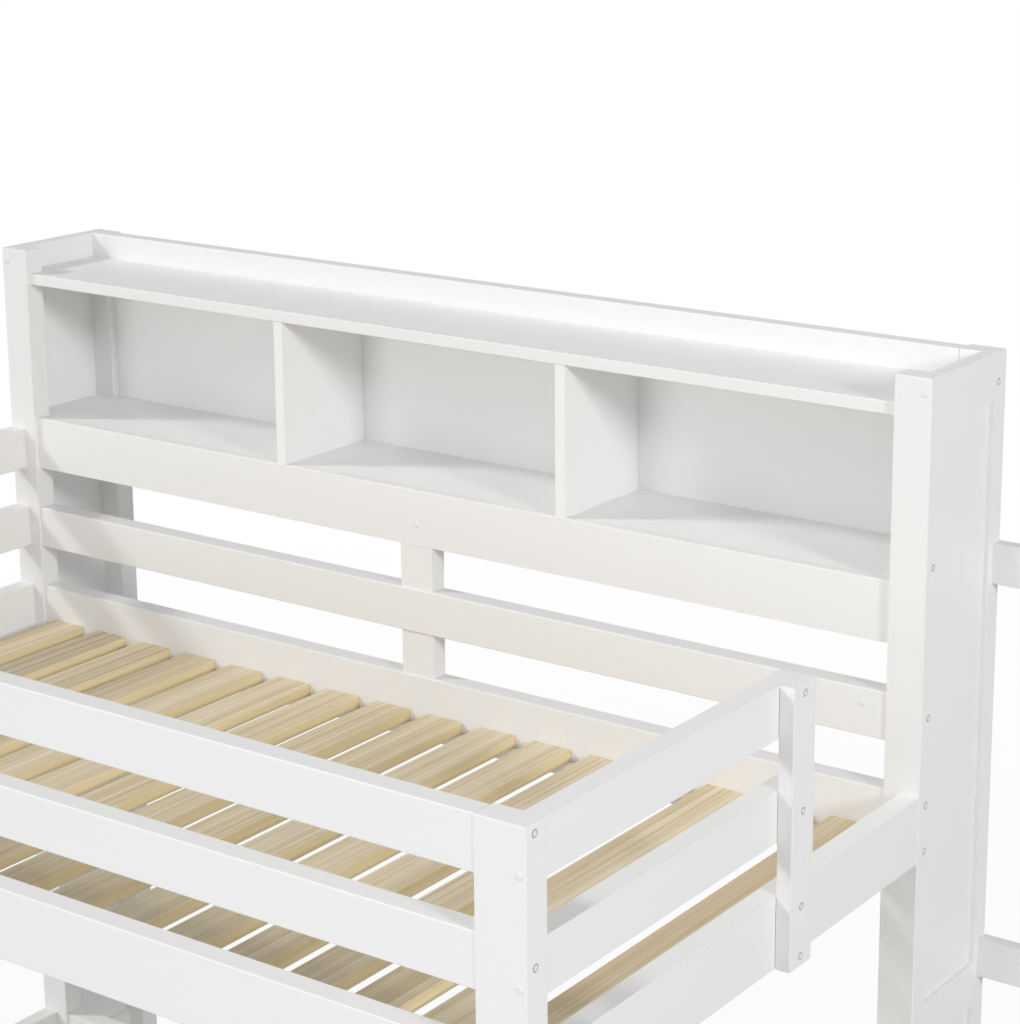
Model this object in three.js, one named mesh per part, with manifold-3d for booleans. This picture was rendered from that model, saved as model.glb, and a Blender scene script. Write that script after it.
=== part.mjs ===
// Loft bed with a shallow bookcase along its back side. Sizes are millimetres, +Z is up.
// X runs along the bed, Y from the open front side to the bookcase, and Z from the floor.
import * as THREE from "three";
import { mergeVertices } from "three/addons/utils/BufferGeometryUtils.js";
import Module from "manifold-3d";

const wasm = await Module();
wasm.setup();

// Overall sizes
const bedLength = 2000; // over the outer faces of the bookcase posts
const bedWidth = 1042; // from the bookcase posts' front faces to the corner posts' front faces
const bookcaseDepth = 258.4;
const sideRailTop = 1157; // above the floor

// Joints and edges
const jointGap = 0.2; // between two pieces that touch
const arris = 2; // radius of the eased edges of posts and rails
const fineArris = 1.5; // radius of the eased edges of boards
const slatArris = 1; // easing of a slat's edges and ends
const postNose = 1.5; // easing of a post's two ends
const grooveDepth = 8; // panel grooves
const grooveSlack = 0.5; // left free at the bottom of a groove, housing or mortise
const housingDepth = 6; // housings that shelves and dividers stand in
const shelfShoulder = 3; // step above the ends of the top shelf that stand in their housings
const tongueShoulder = 15; // a rail's stub tongue stops this far from the rail's free edge

// Bookcase side frames
const bookPostWidth = 63.5;
const bookPostDepth = 42;
const frameRailThickness = 25;
const frameRailHeight = 79.4;
const panelThickness = 9;
const panelRecess = 6.7; // from the frame's outer face
const frameMiddleRailTop = 790;
const frameBottomRailBottom = 60;

// Shelves and what stands between them
const trayDepth = 46.7; // the top shelf lies this far below the post tops
const shelfThickness = 21;
const shelfSetback = 9; // shelf fronts behind the posts' front faces
const cubbyHeight = 263.8;
const middleCubbyWidth = 598;
const dividerThickness = 20;
const trayRailThickness = 30.6;
const backPanelThickness = 5;
const backPanelInset = 16.6; // behind the tray rail's front face
const apronThickness = 20;
const apronHeight = 101.3;

// Rails round the mattress
const sideRailHeight = 112.5;
const guardRailHeight = 79.5;
const lowerGuardGap = 81.2; // side rail to guard middle rail
const upperGuardGap = 77.5; // guard middle rail to guard top rail
const apronGap = 79.5; // guard middle rail to the bookcase's apron
const frontRailThickness = 35;
const frontRailSetback = 1.6; // behind the corner posts' front faces
const endRailThickness = 35;
const endInset = 1.6; // end rails and corner posts inside the bookcase posts' outer faces
const backRailThickness = 38;
const backRailSetback = 4; // behind the bookcase posts' front faces
const stretcherBottom = 150;

// Corner posts and stiles
const cornerPostWidth = 80;
const cornerPostDepth = 43.5;
const accessWidth = 378; // opening between the guard stile and the bookcase post
const guardStileWidth = 61;
const guardStileThickness = 25;
const backStileWidth = 70;
const backStileSetback = 8;
const lapDepth = 19; // what the back guard's middle rail keeps in front of the stile
const stubTenonLength = 40;
const stubTenonThickness = 12;
const stubTenonDepth = 15;

// Slats and their ledgers
const slatCount = 16;
const slatWidth = 76;
const slatThickness = 22;
const slatDrop = 66; // slat tops below the side rails' tops
const firstSlatGap = 6.4; // from the left corner post to the first slat
const lastSlatGap = 1; // from the last slat to the right corner post
const ledgerWidth = 25;
const ledgerHeight = 17.5;

// Boards at the right back post, to which a neighbouring unit is joined
const connectorLength = 150;
const connectorThickness = 24.5;
const connectorHeight = 67.8;
const upperConnectorDrop = 315.4; // its top below the post tops
const lowerConnectorTop = 827.5;

// Sunk round covers of the frame bolts
const coverRadius = 6;
const coverRecess = 8;
const topRailBolt = 14; // each below the top of the rail that the bolt holds
const middleRailBolt = 34.5;
const sideRailBolts = [19.5, 97];
const stretcherBolt = 40;
const highBoltDrop = 302; // below the post tops
const trayBoltDrop = 48.6;

// Levels above the floor
const sideRailBottom = sideRailTop - sideRailHeight;
const guardMiddleBottom = sideRailTop + lowerGuardGap;
const guardMiddleTop = guardMiddleBottom + guardRailHeight;
const guardTopBottom = guardMiddleTop + upperGuardGap;
const guardTop = guardTopBottom + guardRailHeight;
const apronBottom = guardMiddleTop + apronGap;
const bottomShelfTop = apronBottom + apronHeight;
const bottomShelfBottom = bottomShelfTop - shelfThickness;
const topShelfBottom = bottomShelfTop + cubbyHeight;
const topShelfTop = topShelfBottom + shelfThickness;
const bookcaseTop = topShelfTop + trayDepth;
const stretcherTop = stretcherBottom + guardRailHeight;
const slatTop = sideRailTop - slatDrop;
const slatBottom = slatTop - slatThickness;

// Places along Y
const cornerFront = -bedWidth;
const cornerBack = cornerFront + cornerPostDepth;
const frontRailFront = cornerFront + frontRailSetback;
const frontRailBack = frontRailFront + frontRailThickness;
const backRailFront = backRailSetback;
const backRailBack = backRailFront + backRailThickness;
const backPostFront = bookcaseDepth - bookPostDepth;
const trayRailBack = backPostFront + trayRailThickness;
const backPanelFront = backPostFront + backPanelInset;
const backPanelBack = backPanelFront + backPanelThickness;
const apronBack = shelfSetback + apronThickness;

// Distances inwards from the outer face of one end
const panelInner = panelRecess + panelThickness;
const endRailInner = endInset + endRailThickness;
const cornerPostInner = endInset + cornerPostWidth;
const tongueLength = grooveDepth - grooveSlack;

const arrisSegments = 2;
const fineSegments = 1;
const coverSegments = 16;
const mergeDistance = 0.001;
const past = 1; // how far a cutter runs out of the piece

const paint = new THREE.MeshStandardMaterial({ color: 0xf0efec, roughness: 0.42, metalness: 0 });
const shade = new THREE.MeshStandardMaterial({ color: 0xe9e8e5, roughness: 0.5, metalness: 0 });
const pine = new THREE.MeshStandardMaterial({ color: 0xd3be96, roughness: 0.62, metalness: 0 });

// The stretch of X between two distances from the outer face of the left (-1) or right (1) end.
function fromEnd(side, near, far) {
  const outer = (side * bedLength) / 2;
  return [outer - side * near, outer - side * far].sort((a, b) => a - b);
}

// The stretch of X that is this far inside the outer faces of both ends.
function betweenEnds(inset) {
  return [inset - bedLength / 2, bedLength / 2 - inset];
}

function centred(width) {
  return [-width / 2, width / 2];
}

const middleOf = (span) => (span[0] + span[1]) / 2;
const sizeOf = (span) => span[1] - span[0];

// Where a section's four corners lie, in the order that their radii are given in
const sectionCorners = [
  [-1, -1],
  [1, -1],
  [1, 1],
  [-1, 1],
];

// A rectangle with one radius for each corner
function easedRectangle(width, height, radii) {
  const outline = new THREE.Shape();
  sectionCorners.forEach(([right, up], i) => {
    const radius = radii[i];
    const x = right * (width / 2 - radius);
    const y = up * (height / 2 - radius);
    const start = Math.PI + (i * Math.PI) / 2;
    outline.absarc(x, y, radius, start, start + Math.PI / 2);
  });
  outline.closePath();
  return outline;
}

// Which row axes a section's two sides and its length lie along, for each grain direction
const grainAxes = {
  x: ["y", "z", "x"],
  y: ["z", "x", "y"],
  z: ["x", "y", "z"],
};
const unit = {
  x: new THREE.Vector3(1, 0, 0),
  y: new THREE.Vector3(0, 1, 0),
  z: new THREE.Vector3(0, 0, 1),
};

// A board or post that fills a box: an eased section swept along its grain, with eased ends
// where nose is set. box holds a [low, high] span for x, y and z.
function timber(box, grain, { edges = arris, segments = arrisSegments, nose = 0 } = {}) {
  const [across, up, along] = grainAxes[grain];
  const radii = Array.isArray(edges) ? edges : [edges, edges, edges, edges];
  const section = easedRectangle(sizeOf(box[across]), sizeOf(box[up]), radii);
  const geometry = new THREE.ExtrudeGeometry(section, {
    depth: sizeOf(box[along]) - 2 * nose,
    curveSegments: segments,
    bevelEnabled: nose > 0,
    bevelThickness: nose,
    bevelSize: nose,
    bevelOffset: -nose,
    bevelSegments: segments,
  });
  geometry.translate(0, 0, nose - sizeOf(box[along]) / 2);
  geometry.applyMatrix4(new THREE.Matrix4().makeBasis(unit[across], unit[up], unit[along]));
  geometry.translate(middleOf(box.x), middleOf(box.y), middleOf(box.z));
  return geometry;
}

// The edge radii of a post at one end of the bed. The edge of its outer face that rails lie flush
// with, at the post's front (-1) or back (1), is left square.
function postEdges(side, flush) {
  return sectionCorners.map(([x, y]) => (x === side && y === flush ? 0 : arris));
}

function block(x, y, z) {
  const geometry = new THREE.BoxGeometry(sizeOf(x), sizeOf(y), sizeOf(z));
  return geometry.translate(middleOf(x), middleOf(y), middleOf(z));
}

function solid(geometry) {
  const bare = geometry.clone();
  bare.deleteAttribute("normal");
  bare.deleteAttribute("uv");
  const merged = mergeVertices(bare, mergeDistance);
  return new wasm.Manifold(
    new wasm.Mesh({
      numProp: 3,
      vertProperties: merged.attributes.position.array,
      triVerts: new Uint32Array(merged.index.array),
    }),
  );
}

function geometryOf(body) {
  const mesh = body.getMesh();
  const indexed = new THREE.BufferGeometry();
  indexed.setAttribute("position", new THREE.BufferAttribute(mesh.vertProperties, mesh.numProp));
  indexed.setIndex(new THREE.BufferAttribute(mesh.triVerts, 1));
  const geometry = indexed.toNonIndexed();
  geometry.computeVertexNormals();
  return geometry;
}

function cut(geometry, cutters) {
  return geometryOf(cutters.reduce((body, cutter) => body.subtract(solid(cutter)), solid(geometry)));
}

function join(geometry, additions) {
  return geometryOf(additions.reduce((body, added) => body.add(solid(added)), solid(geometry)));
}

// A round recess for a bolt's cover, sunk along X into the face at faceX.
function boltRecess(faceX, side, y, z) {
  const length = coverRecess + past;
  const geometry = new THREE.CylinderGeometry(coverRadius, coverRadius, length, coverSegments);
  geometry.rotateZ(Math.PI / 2);
  return geometry.translate(faceX - side * (length / 2 - past), y, z);
}

function addPiece(group, name, geometry, material) {
  const piece = new THREE.Mesh(geometry, material);
  piece.name = name;
  group.add(piece);
}

const ends = [
  { side: -1, name: "left" },
  { side: 1, name: "right" },
];

// Bookcase side frames: posts grooved for a thin panel and for the rails' stub tongues
const panelGroove = [panelRecess - jointGap, panelInner + jointGap];
const tongueSpan = [bookPostDepth - tongueLength, backPostFront + tongueLength];
const tongueLow = frameBottomRailBottom + tongueShoulder;
const tongueHigh = bookcaseTop - tongueShoulder;
const guardBoltY = backRailFront + backRailThickness / 2;
const trayBoltY = backPostFront + trayRailThickness / 2;

function bookcaseFrontPost(side) {
  const x = fromEnd(side, 0, bookPostWidth);
  const box = { x, y: [0, bookPostDepth], z: [0, bookcaseTop] };
  const post = timber(box, "z", { edges: postEdges(side, 1), nose: postNose });
  const groove = block(
    fromEnd(side, ...panelGroove),
    [bookPostDepth - grooveDepth, bookPostDepth + past],
    [tongueLow - jointGap, tongueHigh + jointGap],
  );
  const boltLevels = [
    bookcaseTop - highBoltDrop,
    guardMiddleTop - middleRailBolt,
    ...sideRailBolts.map((drop) => sideRailTop - drop),
    stretcherTop - stretcherBolt,
  ];
  const outer = (side * bedLength) / 2;
  return cut(post, [groove, ...boltLevels.map((z) => boltRecess(outer, side, guardBoltY, z))]);
}

function bookcaseBackPost(side) {
  const x = fromEnd(side, 0, bookPostWidth);
  const box = { x, y: [backPostFront, bookcaseDepth], z: [0, bookcaseTop] };
  const post = timber(box, "z", { edges: postEdges(side, -1), nose: postNose });
  const sideGroove = block(
    fromEnd(side, ...panelGroove),
    [backPostFront - past, backPostFront + grooveDepth],
    [tongueLow - jointGap, tongueHigh + jointGap],
  );
  const backGroove = block(
    fromEnd(side, bookPostWidth - grooveDepth, bookPostWidth + past),
    [backPanelFront - jointGap, backPanelBack + jointGap],
    [bottomShelfTop - housingDepth, topShelfBottom + grooveDepth],
  );
  const outer = (side * bedLength) / 2;
  const recess = boltRecess(outer, side, trayBoltY, bookcaseTop - trayBoltDrop);
  return cut(post, [sideGroove, backGroove, recess]);
}

// A rail between the two posts of a side frame, with stub tongues in the posts' grooves and a panel
// groove in each edge that meets a panel
function frameRail(side, bottom, panelBelow, panelAbove) {
  const top = bottom + frameRailHeight;
  const y = [bookPostDepth + jointGap, backPostFront - jointGap];
  const edges = sectionCorners.map(([up, right]) => {
    const besidePanel = right === side && (up < 0 ? panelBelow : panelAbove);
    return besidePanel ? 0 : fineArris;
  });
  const box = { x: fromEnd(side, 0, frameRailThickness), y, z: [bottom, top] };
  const rail = timber(box, "y", { edges });
  const tongueX = fromEnd(side, panelRecess, panelInner);
  const tongueZ = [
    panelBelow ? bottom : bottom + tongueShoulder,
    panelAbove ? top : top - tongueShoulder,
  ];
  const tongues = [
    block(tongueX, [tongueSpan[0], middleOf(y)], tongueZ),
    block(tongueX, [middleOf(y), tongueSpan[1]], tongueZ),
  ];
  const wholeY = [bookPostDepth - grooveDepth, backPostFront + grooveDepth];
  const grooveX = fromEnd(side, ...panelGroove);
  const grooves = [];
  if (panelBelow) grooves.push(block(grooveX, wholeY, [bottom - past, bottom + grooveDepth]));
  if (panelAbove) grooves.push(block(grooveX, wholeY, [top - grooveDepth, top + past]));
  return cut(join(rail, tongues), grooves);
}

function frameTopRail(side) {
  const rail = frameRail(side, bookcaseTop - frameRailHeight, true, false);
  const housing = block(
    fromEnd(side, frameRailThickness - housingDepth, frameRailThickness + past),
    [bookPostDepth - past, backPostFront + past],
    [topShelfBottom - jointGap, topShelfTop - shelfShoulder + jointGap],
  );
  return cut(rail, [housing]);
}

function framePanel(side, bottom, top) {
  return block(
    fromEnd(side, panelRecess, panelInner),
    tongueSpan,
    [bottom - tongueLength, top + tongueLength],
  );
}

function bookcaseSideFrame({ side, name }) {
  const frame = new THREE.Group();
  const piece = (what, geometry) => addPiece(frame, `bookcase_${name}_${what}`, geometry, paint);
  const topRailBottom = bookcaseTop - frameRailHeight;
  const middleRailBottom = frameMiddleRailTop - frameRailHeight;
  const bottomRailTop = frameBottomRailBottom + frameRailHeight;
  piece("front_post", bookcaseFrontPost(side));
  piece("back_post", bookcaseBackPost(side));
  piece("top_rail", frameTopRail(side));
  piece("middle_rail", frameRail(side, middleRailBottom, true, true));
  piece("bottom_rail", frameRail(side, frameBottomRailBottom, false, true));
  piece("upper_panel", framePanel(side, frameMiddleRailTop, topRailBottom));
  piece("lower_panel", framePanel(side, bottomRailTop, middleRailBottom));
  return frame;
}

// Shelves, notched round the posts, with stopped housings for the dividers
const dividerSpans = [-1, 1].map((side) => {
  const inner = (side * middleCubbyWidth) / 2;
  return [inner, inner + side * dividerThickness].sort((a, b) => a - b);
});
const housingStart = apronBack + past;
const notchInset = bookPostWidth + jointGap;

function frontNotch(side, z) {
  return block(fromEnd(side, -past, notchInset), [-past, bookPostDepth + jointGap], z);
}

function dividerHousing(span, z) {
  const x = [span[0] - jointGap, span[1] + jointGap];
  return block(x, [housingStart, backPanelFront + jointGap], z);
}

function topShelf() {
  const x = betweenEnds(frameRailThickness - housingDepth + grooveSlack);
  const y = [shelfSetback, backPostFront - jointGap];
  const z = [topShelfBottom, topShelfTop];
  const shelf = timber({ x, y, z }, "x", { edges: [fineArris, 0, 0, fineArris] });
  const notches = ends.map(({ side }) => frontNotch(side, [z[0] - past, z[1] + past]));
  const shoulders = ends.map(({ side }) =>
    block(
      fromEnd(side, 0, frameRailThickness + jointGap),
      [y[0] - past, y[1] + past],
      [topShelfTop - shelfShoulder, topShelfTop + past],
    ),
  );
  const housingZ = [topShelfBottom - past, topShelfBottom + housingDepth];
  return cut(shelf, [
    ...notches,
    ...shoulders,
    ...dividerSpans.map((span) => dividerHousing(span, housingZ)),
  ]);
}

function trayRail() {
  const box = {
    x: betweenEnds(notchInset),
    y: [backPostFront, trayRailBack],
    z: [topShelfBottom, bookcaseTop],
  };
  const groove = block(
    betweenEnds(bookPostWidth - past),
    [backPanelFront - jointGap, backPanelBack + jointGap],
    [topShelfBottom - past, topShelfBottom + grooveDepth],
  );
  return cut(timber(box, "x", { edges: fineArris }), [groove]);
}

function bottomShelf() {
  const x = betweenEnds(panelInner + jointGap);
  const y = [apronBack + jointGap, trayRailBack];
  const z = [bottomShelfBottom, bottomShelfTop];
  const cutZ = [z[0] - past, z[1] + past];
  const housingZ = [bottomShelfTop - housingDepth, bottomShelfTop + past];
  const backNotches = ends.map(({ side }) =>
    block(fromEnd(side, -past, notchInset), [backPostFront - jointGap, trayRailBack + past], cutZ),
  );
  const panelHousing = block(
    betweenEnds(panelInner),
    [backPanelFront - jointGap, backPanelBack + jointGap],
    housingZ,
  );
  return cut(timber({ x, y, z }, "x", { edges: [0, fineArris, fineArris, 0] }), [
    ...ends.map(({ side }) => frontNotch(side, cutZ)),
    ...backNotches,
    panelHousing,
    ...dividerSpans.map((span) => dividerHousing(span, housingZ)),
  ]);
}

function apron() {
  const box = {
    x: betweenEnds(notchInset),
    y: [shelfSetback, apronBack],
    z: [apronBottom, bottomShelfTop],
  };
  return timber(box, "x", { edges: [fineArris / 2, fineArris / 2, 0, fineArris] });
}

function divider(span) {
  const y = [shelfSetback, backPanelFront - jointGap];
  const z = [bottomShelfTop + jointGap, topShelfBottom - jointGap];
  const board = timber({ x: span, y, z }, "z", { edges: [fineArris, fineArris, 0, 0] });
  const tongueDepth = housingDepth - grooveSlack;
  const middle = middleOf(z);
  const tongueFront = housingStart + jointGap;
  const lowerTongue = block(span, [tongueFront, y[1]], [bottomShelfTop - tongueDepth, middle]);
  const upperTongueBack = backPostFront - 2 * jointGap;
  const upperTongue = block(
    span,
    [tongueFront, upperTongueBack],
    [middle, topShelfBottom + tongueDepth],
  );
  return join(board, [lowerTongue, upperTongue]);
}

// The thin back panel stands in grooves of the back posts, the tray rail and the bottom shelf.
// The dividers reach its front face.
function backPanel() {
  return block(
    betweenEnds(bookPostWidth - tongueLength),
    [backPanelFront, backPanelBack],
    [bottomShelfTop - housingDepth + grooveSlack, topShelfBottom + tongueLength],
  );
}

function bookcaseShelves() {
  const shelves = new THREE.Group();
  addPiece(shelves, "top_shelf", topShelf(), paint);
  addPiece(shelves, "tray_rail", trayRail(), paint);
  addPiece(shelves, "bottom_shelf", bottomShelf(), paint);
  addPiece(shelves, "apron", apron(), paint);
  addPiece(shelves, "divider_left", divider(dividerSpans[0]), paint);
  addPiece(shelves, "divider_right", divider(dividerSpans[1]), paint);
  addPiece(shelves, "back_panel", backPanel(), shade);
  return shelves;
}

// Back guard: the middle rail and the centre stile are halved across each other
const lapFace = backRailFront + lapDepth;

function backRail(bottom, height) {
  const y = [backRailFront, backRailBack];
  return timber({ x: betweenEnds(notchInset), y, z: [bottom, bottom + height] }, "x");
}

function backGuardRail() {
  const stileX = centred(backStileWidth + 2 * jointGap);
  const lap = block(
    stileX,
    [lapFace, backRailBack + past],
    [guardMiddleBottom - past, guardMiddleTop + past],
  );
  return cut(backRail(guardMiddleBottom, guardRailHeight), [lap]);
}

function backSideRail() {
  const middle = middleOf([backRailFront, backRailBack]);
  const halfMortise = stubTenonThickness / 2 + jointGap;
  const mortise = block(
    centred(stubTenonLength + 2 * jointGap),
    [middle - halfMortise, middle + halfMortise],
    [sideRailTop - stubTenonDepth - grooveSlack, sideRailTop + past],
  );
  return cut(backRail(sideRailBottom, sideRailHeight), [mortise]);
}

function backGuardStile() {
  const x = centred(backStileWidth);
  const y = [backStileSetback, backRailBack];
  const z = [sideRailTop + jointGap, apronBottom - jointGap];
  const stile = timber({ x, y, z }, "z", { edges: fineArris });
  const tongue = block(
    x,
    [apronBack + jointGap, backRailBack],
    [apronBottom - apronHeight / 2, bottomShelfBottom - jointGap],
  );
  const middle = middleOf([backRailFront, backRailBack]);
  const tenon = block(
    centred(stubTenonLength),
    [middle - stubTenonThickness / 2, middle + stubTenonThickness / 2],
    [sideRailTop - stubTenonDepth, sideRailTop + stubTenonDepth],
  );
  const lap = block(
    centred(backStileWidth + 2 * past),
    [backStileSetback - past, lapFace + jointGap],
    [guardMiddleBottom - jointGap, guardMiddleTop + jointGap],
  );
  return cut(join(stile, [tongue, tenon]), [lap]);
}

// Corner posts, with the covers of the bolts that hold the front rails
const frontRailMiddle = frontRailFront + frontRailThickness / 2;

function cornerPost(side) {
  const x = fromEnd(side, endInset, cornerPostInner);
  const box = { x, y: [cornerFront, cornerBack], z: [0, guardTop] };
  const post = timber(box, "z", { edges: postEdges(side, 1), nose: postNose });
  const levels = [
    guardTop - topRailBolt,
    guardMiddleTop - middleRailBolt,
    ...sideRailBolts.map((drop) => sideRailTop - drop),
  ];
  const outer = side * (bedLength / 2 - endInset);
  return cut(
    post,
    levels.map((z) => boltRecess(outer, side, frontRailMiddle, z)),
  );
}

function frontRail(bottom, height) {
  const x = betweenEnds(cornerPostInner + jointGap);
  const y = [frontRailFront, frontRailBack];
  return timber({ x, y, z: [bottom, bottom + height] }, "x");
}

// A rail at one end of the bed, from the corner post's back face to the place given on Y.
function endRail(side, bottom, height, reach) {
  const x = fromEnd(side, endInset, endRailInner);
  return timber({ x, y: [cornerBack + jointGap, reach], z: [bottom, bottom + height] }, "y");
}

// The stile outside the right end's rails, which borders the access opening
function guardStile() {
  const inner = bedLength / 2 - endInset + jointGap;
  const x = [inner, inner + guardStileThickness];
  const y = [-accessWidth - guardStileWidth, -accessWidth];
  const stile = timber({ x, y, z: [sideRailBottom, guardTop] }, "z", { nose: postNose });
  const levels = [
    guardTop - topRailBolt,
    guardMiddleTop - middleRailBolt,
    ...sideRailBolts.map((drop) => sideRailTop - drop),
  ];
  return cut(
    stile,
    levels.map((z) => boltRecess(x[1], 1, middleOf(y), z)),
  );
}

function backGuard() {
  const guard = new THREE.Group();
  addPiece(guard, "back_guard_rail", backGuardRail(), paint);
  addPiece(guard, "back_side_rail", backSideRail(), paint);
  addPiece(guard, "back_guard_stile", backGuardStile(), paint);
  addPiece(guard, "back_stretcher", backRail(stretcherBottom, guardRailHeight), paint);
  return guard;
}

function frontGuard() {
  const guard = new THREE.Group();
  addPiece(guard, "corner_post_left", cornerPost(-1), paint);
  addPiece(guard, "corner_post_right", cornerPost(1), paint);
  addPiece(guard, "front_guard_top_rail", frontRail(guardTopBottom, guardRailHeight), paint);
  addPiece(guard, "front_guard_middle_rail", frontRail(guardMiddleBottom, guardRailHeight), paint);
  addPiece(guard, "front_side_rail", frontRail(sideRailBottom, sideRailHeight), paint);
  return guard;
}

function endGuard({ side, name }) {
  const guard = new THREE.Group();
  const piece = (what, geometry) => addPiece(guard, `${name}_${what}`, geometry, paint);
  const postFace = -jointGap;
  const guardReach = side > 0 ? -accessWidth : postFace;
  piece("guard_top_rail", endRail(side, guardTopBottom, guardRailHeight, guardReach));
  piece("guard_middle_rail", endRail(side, guardMiddleBottom, guardRailHeight, guardReach));
  piece("side_rail", endRail(side, sideRailBottom, sideRailHeight, postFace));
  piece("stretcher", endRail(side, stretcherBottom, guardRailHeight, postFace));
  if (side > 0) piece("guard_stile", guardStile());
  return guard;
}

// Ledgers along the two long side rails, and the slats that lie on them
function ledger(x, y) {
  const top = slatBottom - jointGap;
  return timber({ x, y, z: [top - ledgerHeight, top] }, "x", { edges: fineArris });
}

function slat(index) {
  const firstLeft = cornerPostInner + firstSlatGap - bedLength / 2;
  const lastLeft = bedLength / 2 - cornerPostInner - lastSlatGap - slatWidth;
  const left = firstLeft + ((lastLeft - firstLeft) * index) / (slatCount - 1);
  const box = {
    x: [left, left + slatWidth],
    y: [frontRailBack + jointGap, backRailFront - jointGap],
    z: [slatBottom, slatTop],
  };
  return timber(box, "y", { edges: slatArris, segments: fineSegments, nose: slatArris });
}

function deck() {
  const group = new THREE.Group();
  const frontY = [frontRailBack + jointGap, frontRailBack + jointGap + ledgerWidth];
  const backY = [backRailFront - jointGap - ledgerWidth, backRailFront - jointGap];
  addPiece(group, "front_ledger", ledger(betweenEnds(cornerPostInner + jointGap), frontY), paint);
  addPiece(group, "back_ledger", ledger(betweenEnds(notchInset), backY), paint);
  for (let index = 0; index < slatCount; index += 1) {
    addPiece(group, `slat_${String(index + 1).padStart(2, "0")}`, slat(index), pine);
  }
  return group;
}

// Short boards on the right back post's outer face, flush with its back
const connectorStart = bedLength / 2 + jointGap;
const connectorEnd = connectorStart + connectorLength;

function connector(top) {
  const box = {
    x: [connectorStart, connectorEnd],
    y: [bookcaseDepth - connectorThickness, bookcaseDepth],
    z: [top - connectorHeight, top],
  };
  return timber(box, "x", { edges: fineArris });
}

function connectors() {
  const group = new THREE.Group();
  addPiece(group, "connector_upper", connector(bookcaseTop - upperConnectorDrop), paint);
  addPiece(group, "connector_lower", connector(lowerConnectorTop), paint);
  return group;
}

// The origin is on the floor, in the middle of the whole footprint.
const bed = new THREE.Group();
ends.forEach((end) => bed.add(bookcaseSideFrame(end), endGuard(end)));
bed.add(bookcaseShelves(), backGuard(), frontGuard(), deck(), connectors());
bed.position.set(
  -middleOf([-bedLength / 2, connectorEnd]),
  -middleOf([cornerFront, bookcaseDepth]),
  0,
);

export default bed;
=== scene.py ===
"""Loft bed with a shallow bookcase along its back side: finishes, small fittings and the studio."""

import math

import bmesh
import bpy
from mathutils import Matrix, Vector


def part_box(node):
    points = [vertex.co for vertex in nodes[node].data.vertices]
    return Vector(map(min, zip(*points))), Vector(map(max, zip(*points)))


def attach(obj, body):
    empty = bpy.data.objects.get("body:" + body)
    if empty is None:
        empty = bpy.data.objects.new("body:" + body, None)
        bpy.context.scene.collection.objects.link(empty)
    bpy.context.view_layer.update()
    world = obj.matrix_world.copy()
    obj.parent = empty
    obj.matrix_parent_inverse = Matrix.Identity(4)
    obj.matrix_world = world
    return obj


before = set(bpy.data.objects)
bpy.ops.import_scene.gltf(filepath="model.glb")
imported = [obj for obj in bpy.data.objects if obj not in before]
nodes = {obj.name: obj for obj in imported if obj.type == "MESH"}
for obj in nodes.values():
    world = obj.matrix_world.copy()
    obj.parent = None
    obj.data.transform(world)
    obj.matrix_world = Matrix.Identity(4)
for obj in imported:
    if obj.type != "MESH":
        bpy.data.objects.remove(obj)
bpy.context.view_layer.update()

# The painted parts. Posts, rails, shelves and dividers are solid softwood, sanded and sprayed with
# a satin white lacquer. Its film is thin enough for the fibres to show as fine ridges along the
# length of each piece, and it is a touch thinner and glossier here and there.


class Wire:
    """One output of a material's nodes. Arithmetic on it adds Math nodes."""

    def __init__(self, tree, socket=None):
        self.tree = tree
        self.socket = socket

    def add(self, kind, settings=None, inputs=None, output=0):
        node = self.tree.nodes.new("ShaderNode" + kind)
        for name, value in (settings or {}).items():
            if name == "stops":
                ramp = node.color_ramp
                for stop, (place, colour) in zip(
                    [*ramp.elements, *(ramp.elements.new(p) for p, _ in value[2:])], value
                ):
                    stop.position = place
                    stop.color = (*colour, 1)
            else:
                setattr(node, name, value)
        for name, value in (inputs or {}).items():
            socket = next(s for s in node.inputs if name in (s.identifier, s.name))
            if isinstance(value, Wire):
                self.tree.links.new(value.socket, socket)
            else:
                socket.default_value = value
        return Wire(self.tree, node.outputs[output] if node.outputs else None)

    def math(self, operation, first, second=0.0):
        return self.add("Math", {"operation": operation}, {"Value": first, "Value_001": second})

    def __add__(self, other):
        return self.math("ADD", self, other)

    def __sub__(self, other):
        return self.math("SUBTRACT", self, other)

    def __mul__(self, other):
        return self.math("MULTIPLY", self, other)

    def __truediv__(self, other):
        return self.math("DIVIDE", self, other)

    __radd__ = __add__


def start_finish(name):
    """A new material, with a loose end to start its nodes from."""
    material = bpy.data.materials.new(name)
    material.use_nodes = True
    material.node_tree.nodes.clear()
    return material, Wire(material.node_tree)


def end_finish(material, start, surface):
    """The material's one shader, from the values and wires in surface."""
    shader = start.add("BsdfPrincipled", inputs=surface)
    start.add("OutputMaterial", inputs={"Surface": shader})
    return material


def mm(*lengths):
    return tuple(length / 1000 for length in lengths)


def noise(start, sizes, detail, **shape):
    """A noise over Object coordinates, in cells of the given sizes along X, Y and Z."""
    place = start.add("TexCoord", output=3)
    cells = start.add(
        "Mapping",
        {"vector_type": "POINT"},
        {"Vector": place, "Scale": tuple(1 / size for size in sizes)},
    )
    return start.add("TexNoise", inputs={"Vector": cells, "Scale": 1.0, "Detail": detail, **shape})


def along(axis, across, lengthways):
    """Cell sizes that are short across the grain and long with it."""
    sizes = [across, across, across]
    sizes[axis] = lengthways
    return sizes


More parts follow.
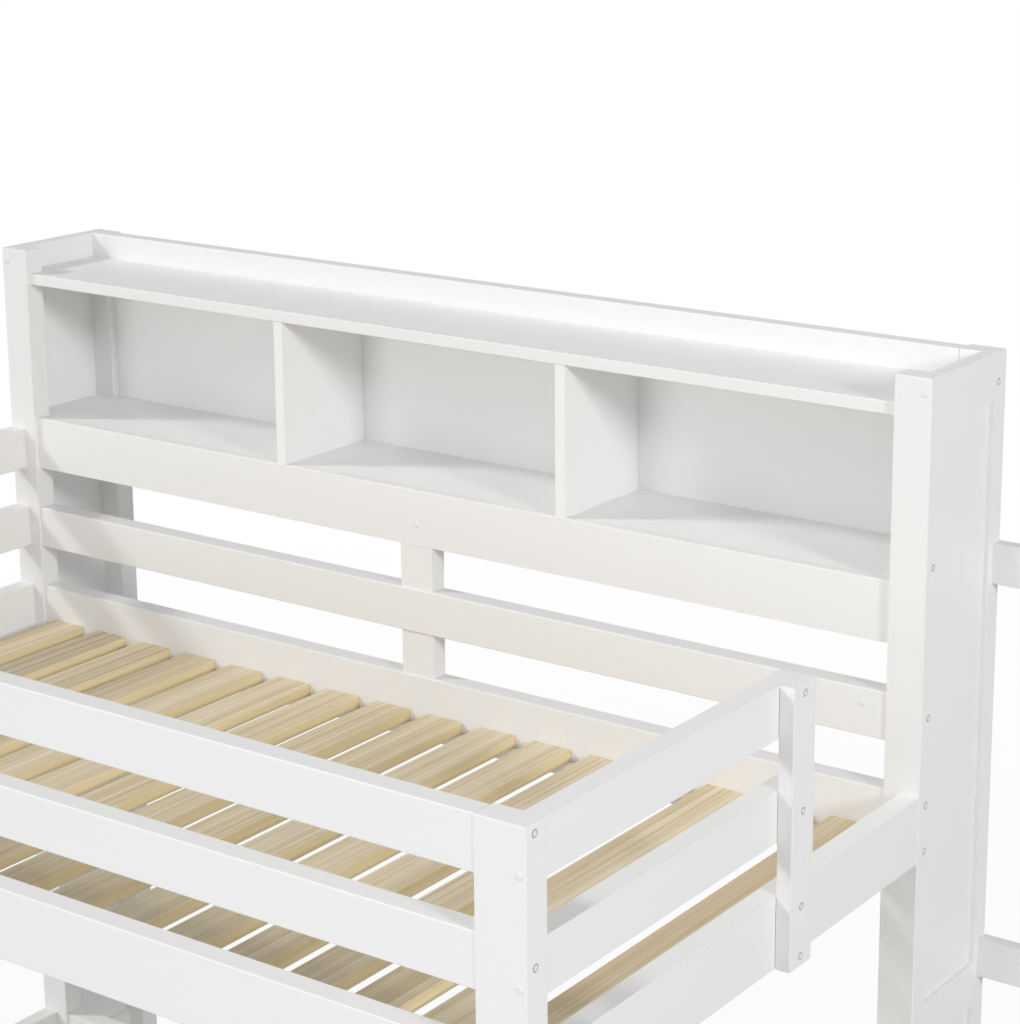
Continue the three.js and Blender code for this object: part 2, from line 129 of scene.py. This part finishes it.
def tint(start, factor, first, second, blend="MIX"):
    """A colour between two others, each of them a wire or a plain colour."""
    first, second = (c if isinstance(c, Wire) else (*c, 1) for c in (first, second))
    return start.add(
        "Mix",
        {"data_type": "RGBA", "blend_type": blend},
        {"Factor_Float": factor, "A_Color": first, "B_Color": second},
        output=2,
    )


def relief(start, strength, depth, height):
    return start.add("Bump", inputs={"Strength": strength, "Distance": depth, "Height": height})


LACQUER = (0.91, 0.91, 0.91)
LACQUER_THIN = (0.885, 0.885, 0.88)
FIBRE_ACROSS, FIBRE_LENGTH = mm(2.2, 110)
FIGURE_ACROSS, FIGURE_LENGTH = mm(35, 900)
SPRAY_CELL = mm(130, 130, 130)
ORANGE_PEEL_CELL = mm(4, 4, 4)


def lacquered_wood(name, axis, full=LACQUER, thin=LACQUER_THIN):
    """White lacquer over wood whose grain runs along the axis."""
    material, start = start_finish(name)
    fibre = noise(start, along(axis, FIBRE_ACROSS, FIBRE_LENGTH), 3.0, Roughness=0.55)
    figure = noise(start, along(axis, FIGURE_ACROSS, FIGURE_LENGTH), 2.0, Distortion=0.6)
    spray = noise(start, SPRAY_CELL, 2.0)
    orange_peel = noise(start, ORANGE_PEEL_CELL, 1.0)
    ridges = fibre * 0.6 + figure * 0.3 + orange_peel * 0.25
    surface = {
        "Base Color": tint(start, figure * 0.45 + fibre * 0.25 + spray * 0.2, full, thin),
        "Roughness": 0.36 + spray * 0.16 + fibre * 0.06,
        "IOR": 1.47,
        "Normal": relief(start, 0.25, 0.0004, ridges),
    }
    return end_finish(material, start, surface)


def finish_node(name, material):
    """Gives a CAD node its finish in every one of its slots."""
    slots = nodes[name].data.materials
    for index in range(len(slots)):
        slots[index] = material
    if not len(slots):
        slots.append(material)
    for polygon in nodes[name].data.polygons:
        polygon.material_index = 0


ALONG_X, ALONG_Y, ALONG_Z = 0, 1, 2
lacquer = {
    ALONG_X: lacquered_wood("lacquer_along_bed", ALONG_X),
    ALONG_Y: lacquered_wood("lacquer_across_bed", ALONG_Y),
    ALONG_Z: lacquered_wood("lacquer_upright", ALONG_Z),
}


def longest_way(name):
    low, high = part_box(name)
    size = high - low
    return max(ALONG_X, ALONG_Y, ALONG_Z, key=lambda axis: size[axis])


for name in nodes:
    if name != "back_panel" and not name.startswith("slat_"):
        finish_node(name, lacquer[longest_way(name)])

# The boards that the cubbies stand on and are parted by. Their lacquer is set a little whiter than
# that of the posts and rails, because the lamps below fill the cubbies less than the photograph's
# light does.

CUBBY_LACQUER = (0.95, 0.95, 0.95)
CUBBY_LACQUER_THIN = (0.93, 0.93, 0.925)

for name in ("bottom_shelf", "divider_left", "divider_right"):
    whiter = (CUBBY_LACQUER, CUBBY_LACQUER_THIN)
    finish_node(name, lacquered_wood(f"lacquer_{name}", longest_way(name), *whiter))

# The bookcase's back panel: thin hardboard with a printed white face, let into grooves. It is
# smoother and flatter than the lacquer, with the faint speckle of pressed fibre.

BOARD = (0.95, 0.95, 0.95)
BOARD_SPECKLE = (0.92, 0.92, 0.915)
SPECKLE_CELL = mm(1.6, 1.6, 1.6)
CLOUD_CELL = mm(200, 200, 200)

board, start = start_finish("white_board")
speckle = noise(start, SPECKLE_CELL, 2.0)
cloud = noise(start, CLOUD_CELL, 1.0)
board_surface = {
    "Base Color": tint(start, speckle * 0.3 + cloud * 0.3, BOARD, BOARD_SPECKLE),
    "Roughness": 0.5 + cloud * 0.1,
    "IOR": 1.45,
    "Normal": relief(start, 0.15, 0.0002, speckle),
}
finish_node("back_panel", end_finish(board, start, board_surface))

# The slats: bare planed pine, laid loose on the ledgers. The grain runs along each slat in fine
# straight lines, with broad pale and brown bands where the growth rings reach the face.

slat_names = sorted(n for n in nodes if n.startswith("slat_"))
first_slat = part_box(slat_names[0])
slat_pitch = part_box(slat_names[1])[0].x - first_slat[0].x

PINE_PALE = (0.82, 0.72, 0.545)
PINE = (0.71, 0.6, 0.4)
PINE_RING = (0.58, 0.46, 0.26)
PINE_STREAK = (0.6, 0.47, 0.265)
# The next colour is painted light: the paler, yellower tone given to the slats' sides.
PINE_SIDE_PAINTED_LIGHT = (0.86, 0.72, 0.41)
RING_STOPS = ((0.34, PINE_PALE), (0.62, PINE), (0.74, PINE_RING))
RING_CELL = mm(11, 750, 20)
PINE_FIBRE_CELL = mm(1.6, 160, 4)
LINE_CELL = mm(2.6, 700, 9)
BLUSH_CELL = mm(90, 250, 90)
LINE_LOW, LINE_HIGH, LINE_SHARE = 0.52, 0.68, 0.8
SIDE_PAINTED_LIGHT_SHARE = 0.55

pine, start = start_finish("bare_pine")
across_slats = start.add("SeparateXYZ", inputs={"Vector": start.add("TexCoord", output=3)})
slat_number = start.math("FLOOR", (across_slats - first_slat[0].x) / slat_pitch)
chance = start.add("TexWhiteNoise", {"noise_dimensions": "1D"}, {"W": slat_number})
rings = noise(start, RING_CELL, 3.0, Roughness=0.5, Distortion=0.35)
fibre = noise(start, PINE_FIBRE_CELL, 4.0, Roughness=0.6)
lines = noise(start, LINE_CELL, 2.0, Distortion=0.2)
blush = noise(start, BLUSH_CELL, 1.0)
ring_tone = start.add("ValToRGB", {"stops": RING_STOPS}, {"Fac": rings * 0.8 + chance * 0.12})
line_mask = start.add(
    "MapRange",
    inputs={"Value": lines, "From Min": LINE_LOW, "From Max": LINE_HIGH, "To Max": LINE_SHARE},
)
streaked = tint(start, line_mask, ring_tone, PINE_STREAK)
# The slats' sides, whose faces point along X, are tinted paler and yellower than their tops:
# painted light on the sides.
facing = start.add("SeparateXYZ", inputs={"Vector": start.add("TexCoord", output=1)})
sides_painted_light = tint(start, start.math("ABSOLUTE", facing) * SIDE_PAINTED_LIGHT_SHARE, streaked, PINE_SIDE_PAINTED_LIGHT)
shade = 0.86 + fibre * 0.18 + chance * 0.06 + blush * 0.06
grey = start.add("CombineColor", inputs={"Red": shade, "Green": shade, "Blue": shade})
pine_surface = {
    "Base Color": tint(start, 1.0, sides_painted_light, grey, "MULTIPLY"),
    "Roughness": 0.58 + fibre * 0.14,
    "IOR": 1.45,
    "Normal": relief(start, 0.35, 0.0004, fibre * 0.7 + lines * 0.5),
}
end_finish(pine, start, pine_surface)
for name in slat_names:
    finish_node(name, pine)

# The bolt covers: pale moulded caps over the heads of the bolts that hold the rails to the posts.
# Each sits in its counterbore. The counterbore's floor round the low dome is coloured grey: painted
# shade, a narrow dark ring in the groove.

COVER_SIDES = 32
COVER_FLANGE, COVER_DOME = mm(5.9, 4)
COVER_FLANGE_DEPTH, COVER_BASE_DEPTH = mm(1.6, 7.2)
DOME_STEPS = (mm(0.5, 0.28), mm(0.9, 0.26), mm(1.2, 0.14), mm(1, 0.05))
DOME_CREASE = math.radians(50)
COVER_COLOUR = (0.86, 0.86, 0.855)
RING_PAINTED_SHADE_COLOUR = (0.5, 0.5, 0.505)
SKIN_CELL = mm(1, 1, 1)
SKIN_SHADE = 0.97
UP = 0.9


def deselect():
    if bpy.context.object and bpy.context.object.mode != "OBJECT":
        bpy.ops.object.mode_set(mode="OBJECT")
    bpy.ops.object.select_all(action="DESELECT")


def pick_faces(wanted):
    """Selects the faces of the piece in edit mode that wanted says yes to."""
    shape = bmesh.from_edit_mesh(bpy.context.object.data)
    bpy.ops.mesh.select_mode(type="FACE")
    bpy.ops.mesh.select_all(action="DESELECT")
    shape.faces.ensure_lookup_table()
    for face in shape.faces:
        face.select_set(wanted(face))
    bmesh.update_edit_mesh(bpy.context.object.data)


def raise_faces(height):
    bpy.ops.mesh.extrude_region_move(TRANSFORM_OT_translate={"value": (0, 0, height)})


def dome_faces(steps):
    """Insets the picked faces and lifts them, once for each step."""
    for inset, rise in steps:
        bpy.ops.mesh.inset(thickness=inset)
        bpy.ops.transform.translate(value=(0, 0, rise))


def moulded(name, colour):
    """A smooth satin skin, as on a moulded or a painted fitting."""
    material, start = start_finish(name)
    skin = noise(start, SKIN_CELL, 2.0)
    surface = {
        "Base Color": tint(start, skin, colour, tuple(SKIN_SHADE * c for c in colour)),
        "Roughness": 0.3 + skin * 0.08,
        "IOR": 1.5,
        "Normal": relief(start, 0.1, 0.0001, skin),
    }
    return end_finish(material, start, surface)


deselect()
bpy.ops.mesh.primitive_cylinder_add(
    vertices=COVER_SIDES,
    radius=COVER_FLANGE,
    depth=COVER_BASE_DEPTH - COVER_FLANGE_DEPTH,
    location=(0, 0, -(COVER_BASE_DEPTH + COVER_FLANGE_DEPTH) / 2),
)
cover = bpy.context.object
bpy.ops.object.transform_apply(location=True, rotation=True, scale=True)
bpy.ops.object.mode_set(mode="EDIT")
pick_faces(lambda face: face.normal.z > UP)
bpy.ops.mesh.inset(thickness=COVER_FLANGE - COVER_DOME)
raise_faces(COVER_FLANGE_DEPTH)
dome_faces(DOME_STEPS)
bpy.ops.object.mode_set(mode="OBJECT")
bpy.ops.object.shade_smooth_by_angle(angle=DOME_CREASE)
cover.data.materials.append(moulded("moulded_cap", COVER_COLOUR))
cover.data.materials.append(moulded("cover_ring_painted_shade", RING_PAINTED_SHADE_COLOUR))
# The flange faces at the counterbore's floor take the grey colour: painted shade in the groove.
for face in cover.data.polygons:
    if face.center.z < -COVER_FLANGE_DEPTH / 2:
        face.material_index = 1


def fit_copy(pattern, name, place, turn):
    """A copy of a fitting with its own mesh, turned to face its way and set at its place."""
    piece = pattern.copy()
    piece.data = pattern.data.copy()
    piece.name = name
    bpy.context.scene.collection.objects.link(piece)
    piece.data.transform(Matrix.Translation(place) @ turn)
    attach(piece, "root")
    return piece


def middle(box, axis):
    return (box[0][axis] + box[1][axis]) / 2


front_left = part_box("bookcase_left_front_post")
front_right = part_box("bookcase_right_front_post")
corner_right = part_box("corner_post_right")
corner_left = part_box("corner_post_left")
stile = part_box("right_guard_stile")
post_top = front_left[1].z
guard_top = corner_left[1].z
guard_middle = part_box("front_guard_middle_rail")[1].z
side_rail_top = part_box("front_side_rail")[1].z
stretcher_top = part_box("back_stretcher")[1].z

TOP_RAIL_BOLT, MIDDLE_RAIL_BOLT, STRETCHER_BOLT = mm(14, 34.5, 40)
SIDE_RAIL_BOLTS = mm(19.5, 97)
HIGH_BOLT, TRAY_BOLT = mm(302, 48.6)
rail_bolts = [guard_middle - MIDDLE_RAIL_BOLT, *(side_rail_top - drop for drop in SIDE_RAIL_BOLTS)]
front_post_bolts = [post_top - HIGH_BOLT, *rail_bolts, stretcher_top - STRETCHER_BOLT]
guard_bolts = [guard_top - TOP_RAIL_BOLT, *rail_bolts]
back_rail_line = middle(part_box("back_side_rail"), ALONG_Y)
front_rail_line = middle(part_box("front_side_rail"), ALONG_Y)
tray_rail_line = middle(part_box("tray_rail"), ALONG_Y)
stile_line = middle(stile, ALONG_Y)

to_right = Matrix.Rotation(math.pi / 2, 4, "Y")
to_left = Matrix.Rotation(-math.pi / 2, 4, "Y")
bolts = []
for face, turn, corner in (
    (front_left[0].x, to_left, corner_left[0].x),
    (front_right[1].x, to_right, corner_right[1].x),
):
    bolts += [(face, back_rail_line, z, turn) for z in front_post_bolts]
    bolts += [(face, tray_rail_line, post_top - TRAY_BOLT, turn)]
    bolts += [(corner, front_rail_line, z, turn) for z in guard_bolts]
bolts += [(stile[1].x, stile_line, z, to_right) for z in guard_bolts]
for number, (x, y, z, turn) in enumerate(bolts, 1):
    fit_copy(cover, f"bolt_cover_{number:02d}", (x, y, z), turn)
bpy.data.objects.remove(cover)

# The screw caps: low painted buttons over the screws that are driven from the front. They hold the
# rails of the side frames, the end guards, the centre stile and the back guard's middle rail.

SCREW_SIDES = 32
SCREW_HEAD, SCREW_PROUD, SCREW_SUNK = mm(5.2, 0.7, 0.2)
SCREW_STEPS = (mm(0.4, 0.35), mm(0.8, 0.2), mm(1.4, 0.1), mm(1.2, -0.2))
SCREW_CREASE = math.radians(40)
SCREW_COLOUR = (0.88, 0.88, 0.88)

deselect()
bpy.ops.mesh.primitive_cylinder_add(
    vertices=SCREW_SIDES,
    radius=SCREW_HEAD,
    depth=SCREW_PROUD + SCREW_SUNK,
    location=(0, 0, (SCREW_PROUD - SCREW_SUNK) / 2),
)
screw = bpy.context.object
bpy.ops.object.transform_apply(location=True, rotation=True, scale=True)
bpy.ops.object.mode_set(mode="EDIT")
pick_faces(lambda face: face.normal.z > UP)
dome_faces(SCREW_STEPS)
bpy.ops.object.mode_set(mode="OBJECT")
bpy.ops.object.shade_smooth_by_angle(angle=SCREW_CREASE)
screw.data.materials.append(moulded("lacquered_screw", SCREW_COLOUR))

FRAME_SCREW_IN, FRAME_SCREW_DROP = mm(12.5, 25)
STILE_SCREW_DROP = 0.063
GUARD_SCREW_IN, GUARD_SCREW_DROP = mm(44.7, 25.7)
END_SCREW_IN, END_SCREW_TOP, END_SCREW_MIDDLE = mm(10.4, 65.7, 58.7)
SIDE_RAIL_SCREWS = mm(30, 84)
to_front = Matrix.Rotation(math.pi / 2, 4, "X")
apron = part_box("apron")
back_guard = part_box("back_guard_rail")
frame_rail_tops = [
    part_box(f"bookcase_left_{rail}_rail")[1].z for rail in ("top", "middle", "bottom")
]
end_screws = [guard_top - END_SCREW_TOP, guard_middle - END_SCREW_MIDDLE]
end_screws += [side_rail_top - drop for drop in SIDE_RAIL_SCREWS]
stile_middle = middle(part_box("back_guard_stile"), ALONG_X)
screws = [(stile_middle, apron[0].y, apron[1].z - STILE_SCREW_DROP)]
for post, corner, inwards in (
    (front_left[0].x, corner_left[0].x, 1),
    (front_right[1].x, corner_right[1].x, -1),
):
    post_line = post + inwards * FRAME_SCREW_IN
    corner_line = corner + inwards * END_SCREW_IN
    screws += [(post_line, front_left[0].y, top - FRAME_SCREW_DROP) for top in frame_rail_tops]
    screws += [(corner_line, corner_left[0].y, z) for z in end_screws]
guard_line = back_guard[1].x - GUARD_SCREW_IN
screws += [(guard_line, back_guard[0].y, back_guard[1].z - GUARD_SCREW_DROP)]
for number, place in enumerate(screws, 1):
    fit_copy(screw, f"screw_{number:02d}", place, to_front)
bpy.data.objects.remove(screw)

# The studio: a plain pale floor and dome, a large soft lamp in front, a smaller one off the right
# end, and a soft sun from the left front that draws the shadows. The floor keeps the bed's shadow
# and fades to white.

FLOOR_HALF = 30
FLOOR_COLOUR = (0.6, 0.6, 0.6, 1)
WHITE = (1, 1, 1, 1)
SHADOW_START, SHADOW_REACH = 1.5, 5.5
FLOOR_FADE = 0.93
DOME_STRENGTH = 0.465
LAMP_AIM = (0.0, 0.35, 1.45)
FRONT_LAMP_PLACE, FRONT_LAMP_SIZE, FRONT_LAMP_POWER = (-2.06, -11.32, 3.33), 4.5, 272
RIGHT_LAMP_PLACE, RIGHT_LAMP_SIZE, RIGHT_LAMP_POWER = (8.04, -2.58, 4.23), 1.4, 270
SUN_PLACE, SUN_ANGLE, SUN_POWER = (-5.489, -3.08, 6.152), math.radians(8), 1.12

deselect()
bpy.ops.mesh.primitive_plane_add(size=2 * FLOOR_HALF)
floor = bpy.context.object
floor.name = "studio_floor"
floor_finish, start = start_finish("studio_floor")
light_path = start.add("LightPath")
place = start.add("TexCoord", output=3)
spot = start.add("VectorMath", {"operation": "LENGTH"}, {"Vector": place}, output=1)
fade = start.add(
    "MapRange",
    inputs={
        "Value": spot,
        "From Min": SHADOW_START,
        "From Max": SHADOW_REACH,
        "To Min": FLOOR_FADE,
    },
)
pale = start.add("BsdfDiffuse", inputs={"Color": FLOOR_COLOUR})
white = start.add("Emission", inputs={"Color": WHITE, "Strength": 1.0})
seen = start.add(
    "MixShader", inputs={"Fac": light_path * fade, "Shader": pale, "Shader_001": white}
)
start.add("OutputMaterial", inputs={"Surface": seen})
floor.data.materials.append(floor_finish)

world = bpy.data.worlds.new("studio")
bpy.context.scene.world = world
world.use_nodes = True
world.node_tree.nodes.clear()
start = Wire(world.node_tree)
strength = DOME_STRENGTH + start.add("LightPath") * (1 - DOME_STRENGTH)
dome = start.add("Background", inputs={"Color": WHITE, "Strength": strength})
start.add("OutputWorld", inputs={"Surface": dome})


def hang(data, place):
    """Puts a lamp at the place and turns it to the bookcase."""
    lamp = bpy.data.objects.new(data.name, data)
    bpy.context.scene.collection.objects.link(lamp)
    lamp.location = place
    lamp.rotation_mode = "QUATERNION"
    lamp.rotation_quaternion = (Vector(LAMP_AIM) - lamp.location).to_track_quat("-Z", "Y")


for name, place, size, power in (
    ("front_lamp", FRONT_LAMP_PLACE, FRONT_LAMP_SIZE, FRONT_LAMP_POWER),
    ("right_lamp", RIGHT_LAMP_PLACE, RIGHT_LAMP_SIZE, RIGHT_LAMP_POWER),
):
    disk = bpy.data.lights.new(name, "AREA")
    disk.shape = "DISK"
    disk.size = size
    disk.energy = power
    hang(disk, place)

sun = bpy.data.lights.new("left_lamp", "SUN")
sun.angle = SUN_ANGLE
sun.energy = SUN_POWER
hang(sun, SUN_PLACE)

# The camera stands where the photograph's does, off the open side's right end. The photograph is
# level with a large shift. This one looks down with a small shift, so the posts lean a little and
# views from other sides still hold the whole bed.

CAMERA_PLACE = (2.605, -2.958, 2.691)
CAMERA_LEFT = 34.23
CAMERA_DOWN = 13.74
CAMERA_LENS = 89.4
CAMERA_SENSOR = 36
CAMERA_SHIFT_X, CAMERA_SHIFT_Y = -0.09, -0.1

camera_data = bpy.data.cameras.new("camera")
camera_data.lens = CAMERA_LENS
camera_data.sensor_width = CAMERA_SENSOR
camera_data.shift_x = CAMERA_SHIFT_X
camera_data.shift_y = CAMERA_SHIFT_Y
camera = bpy.data.objects.new("camera", camera_data)
bpy.context.scene.collection.objects.link(camera)
camera.location = CAMERA_PLACE
camera.rotation_euler = (math.radians(90 - CAMERA_DOWN), 0, math.radians(CAMERA_LEFT))
bpy.context.scene.camera = camera

bpy.context.scene.view_settings.view_transform = "Standard"
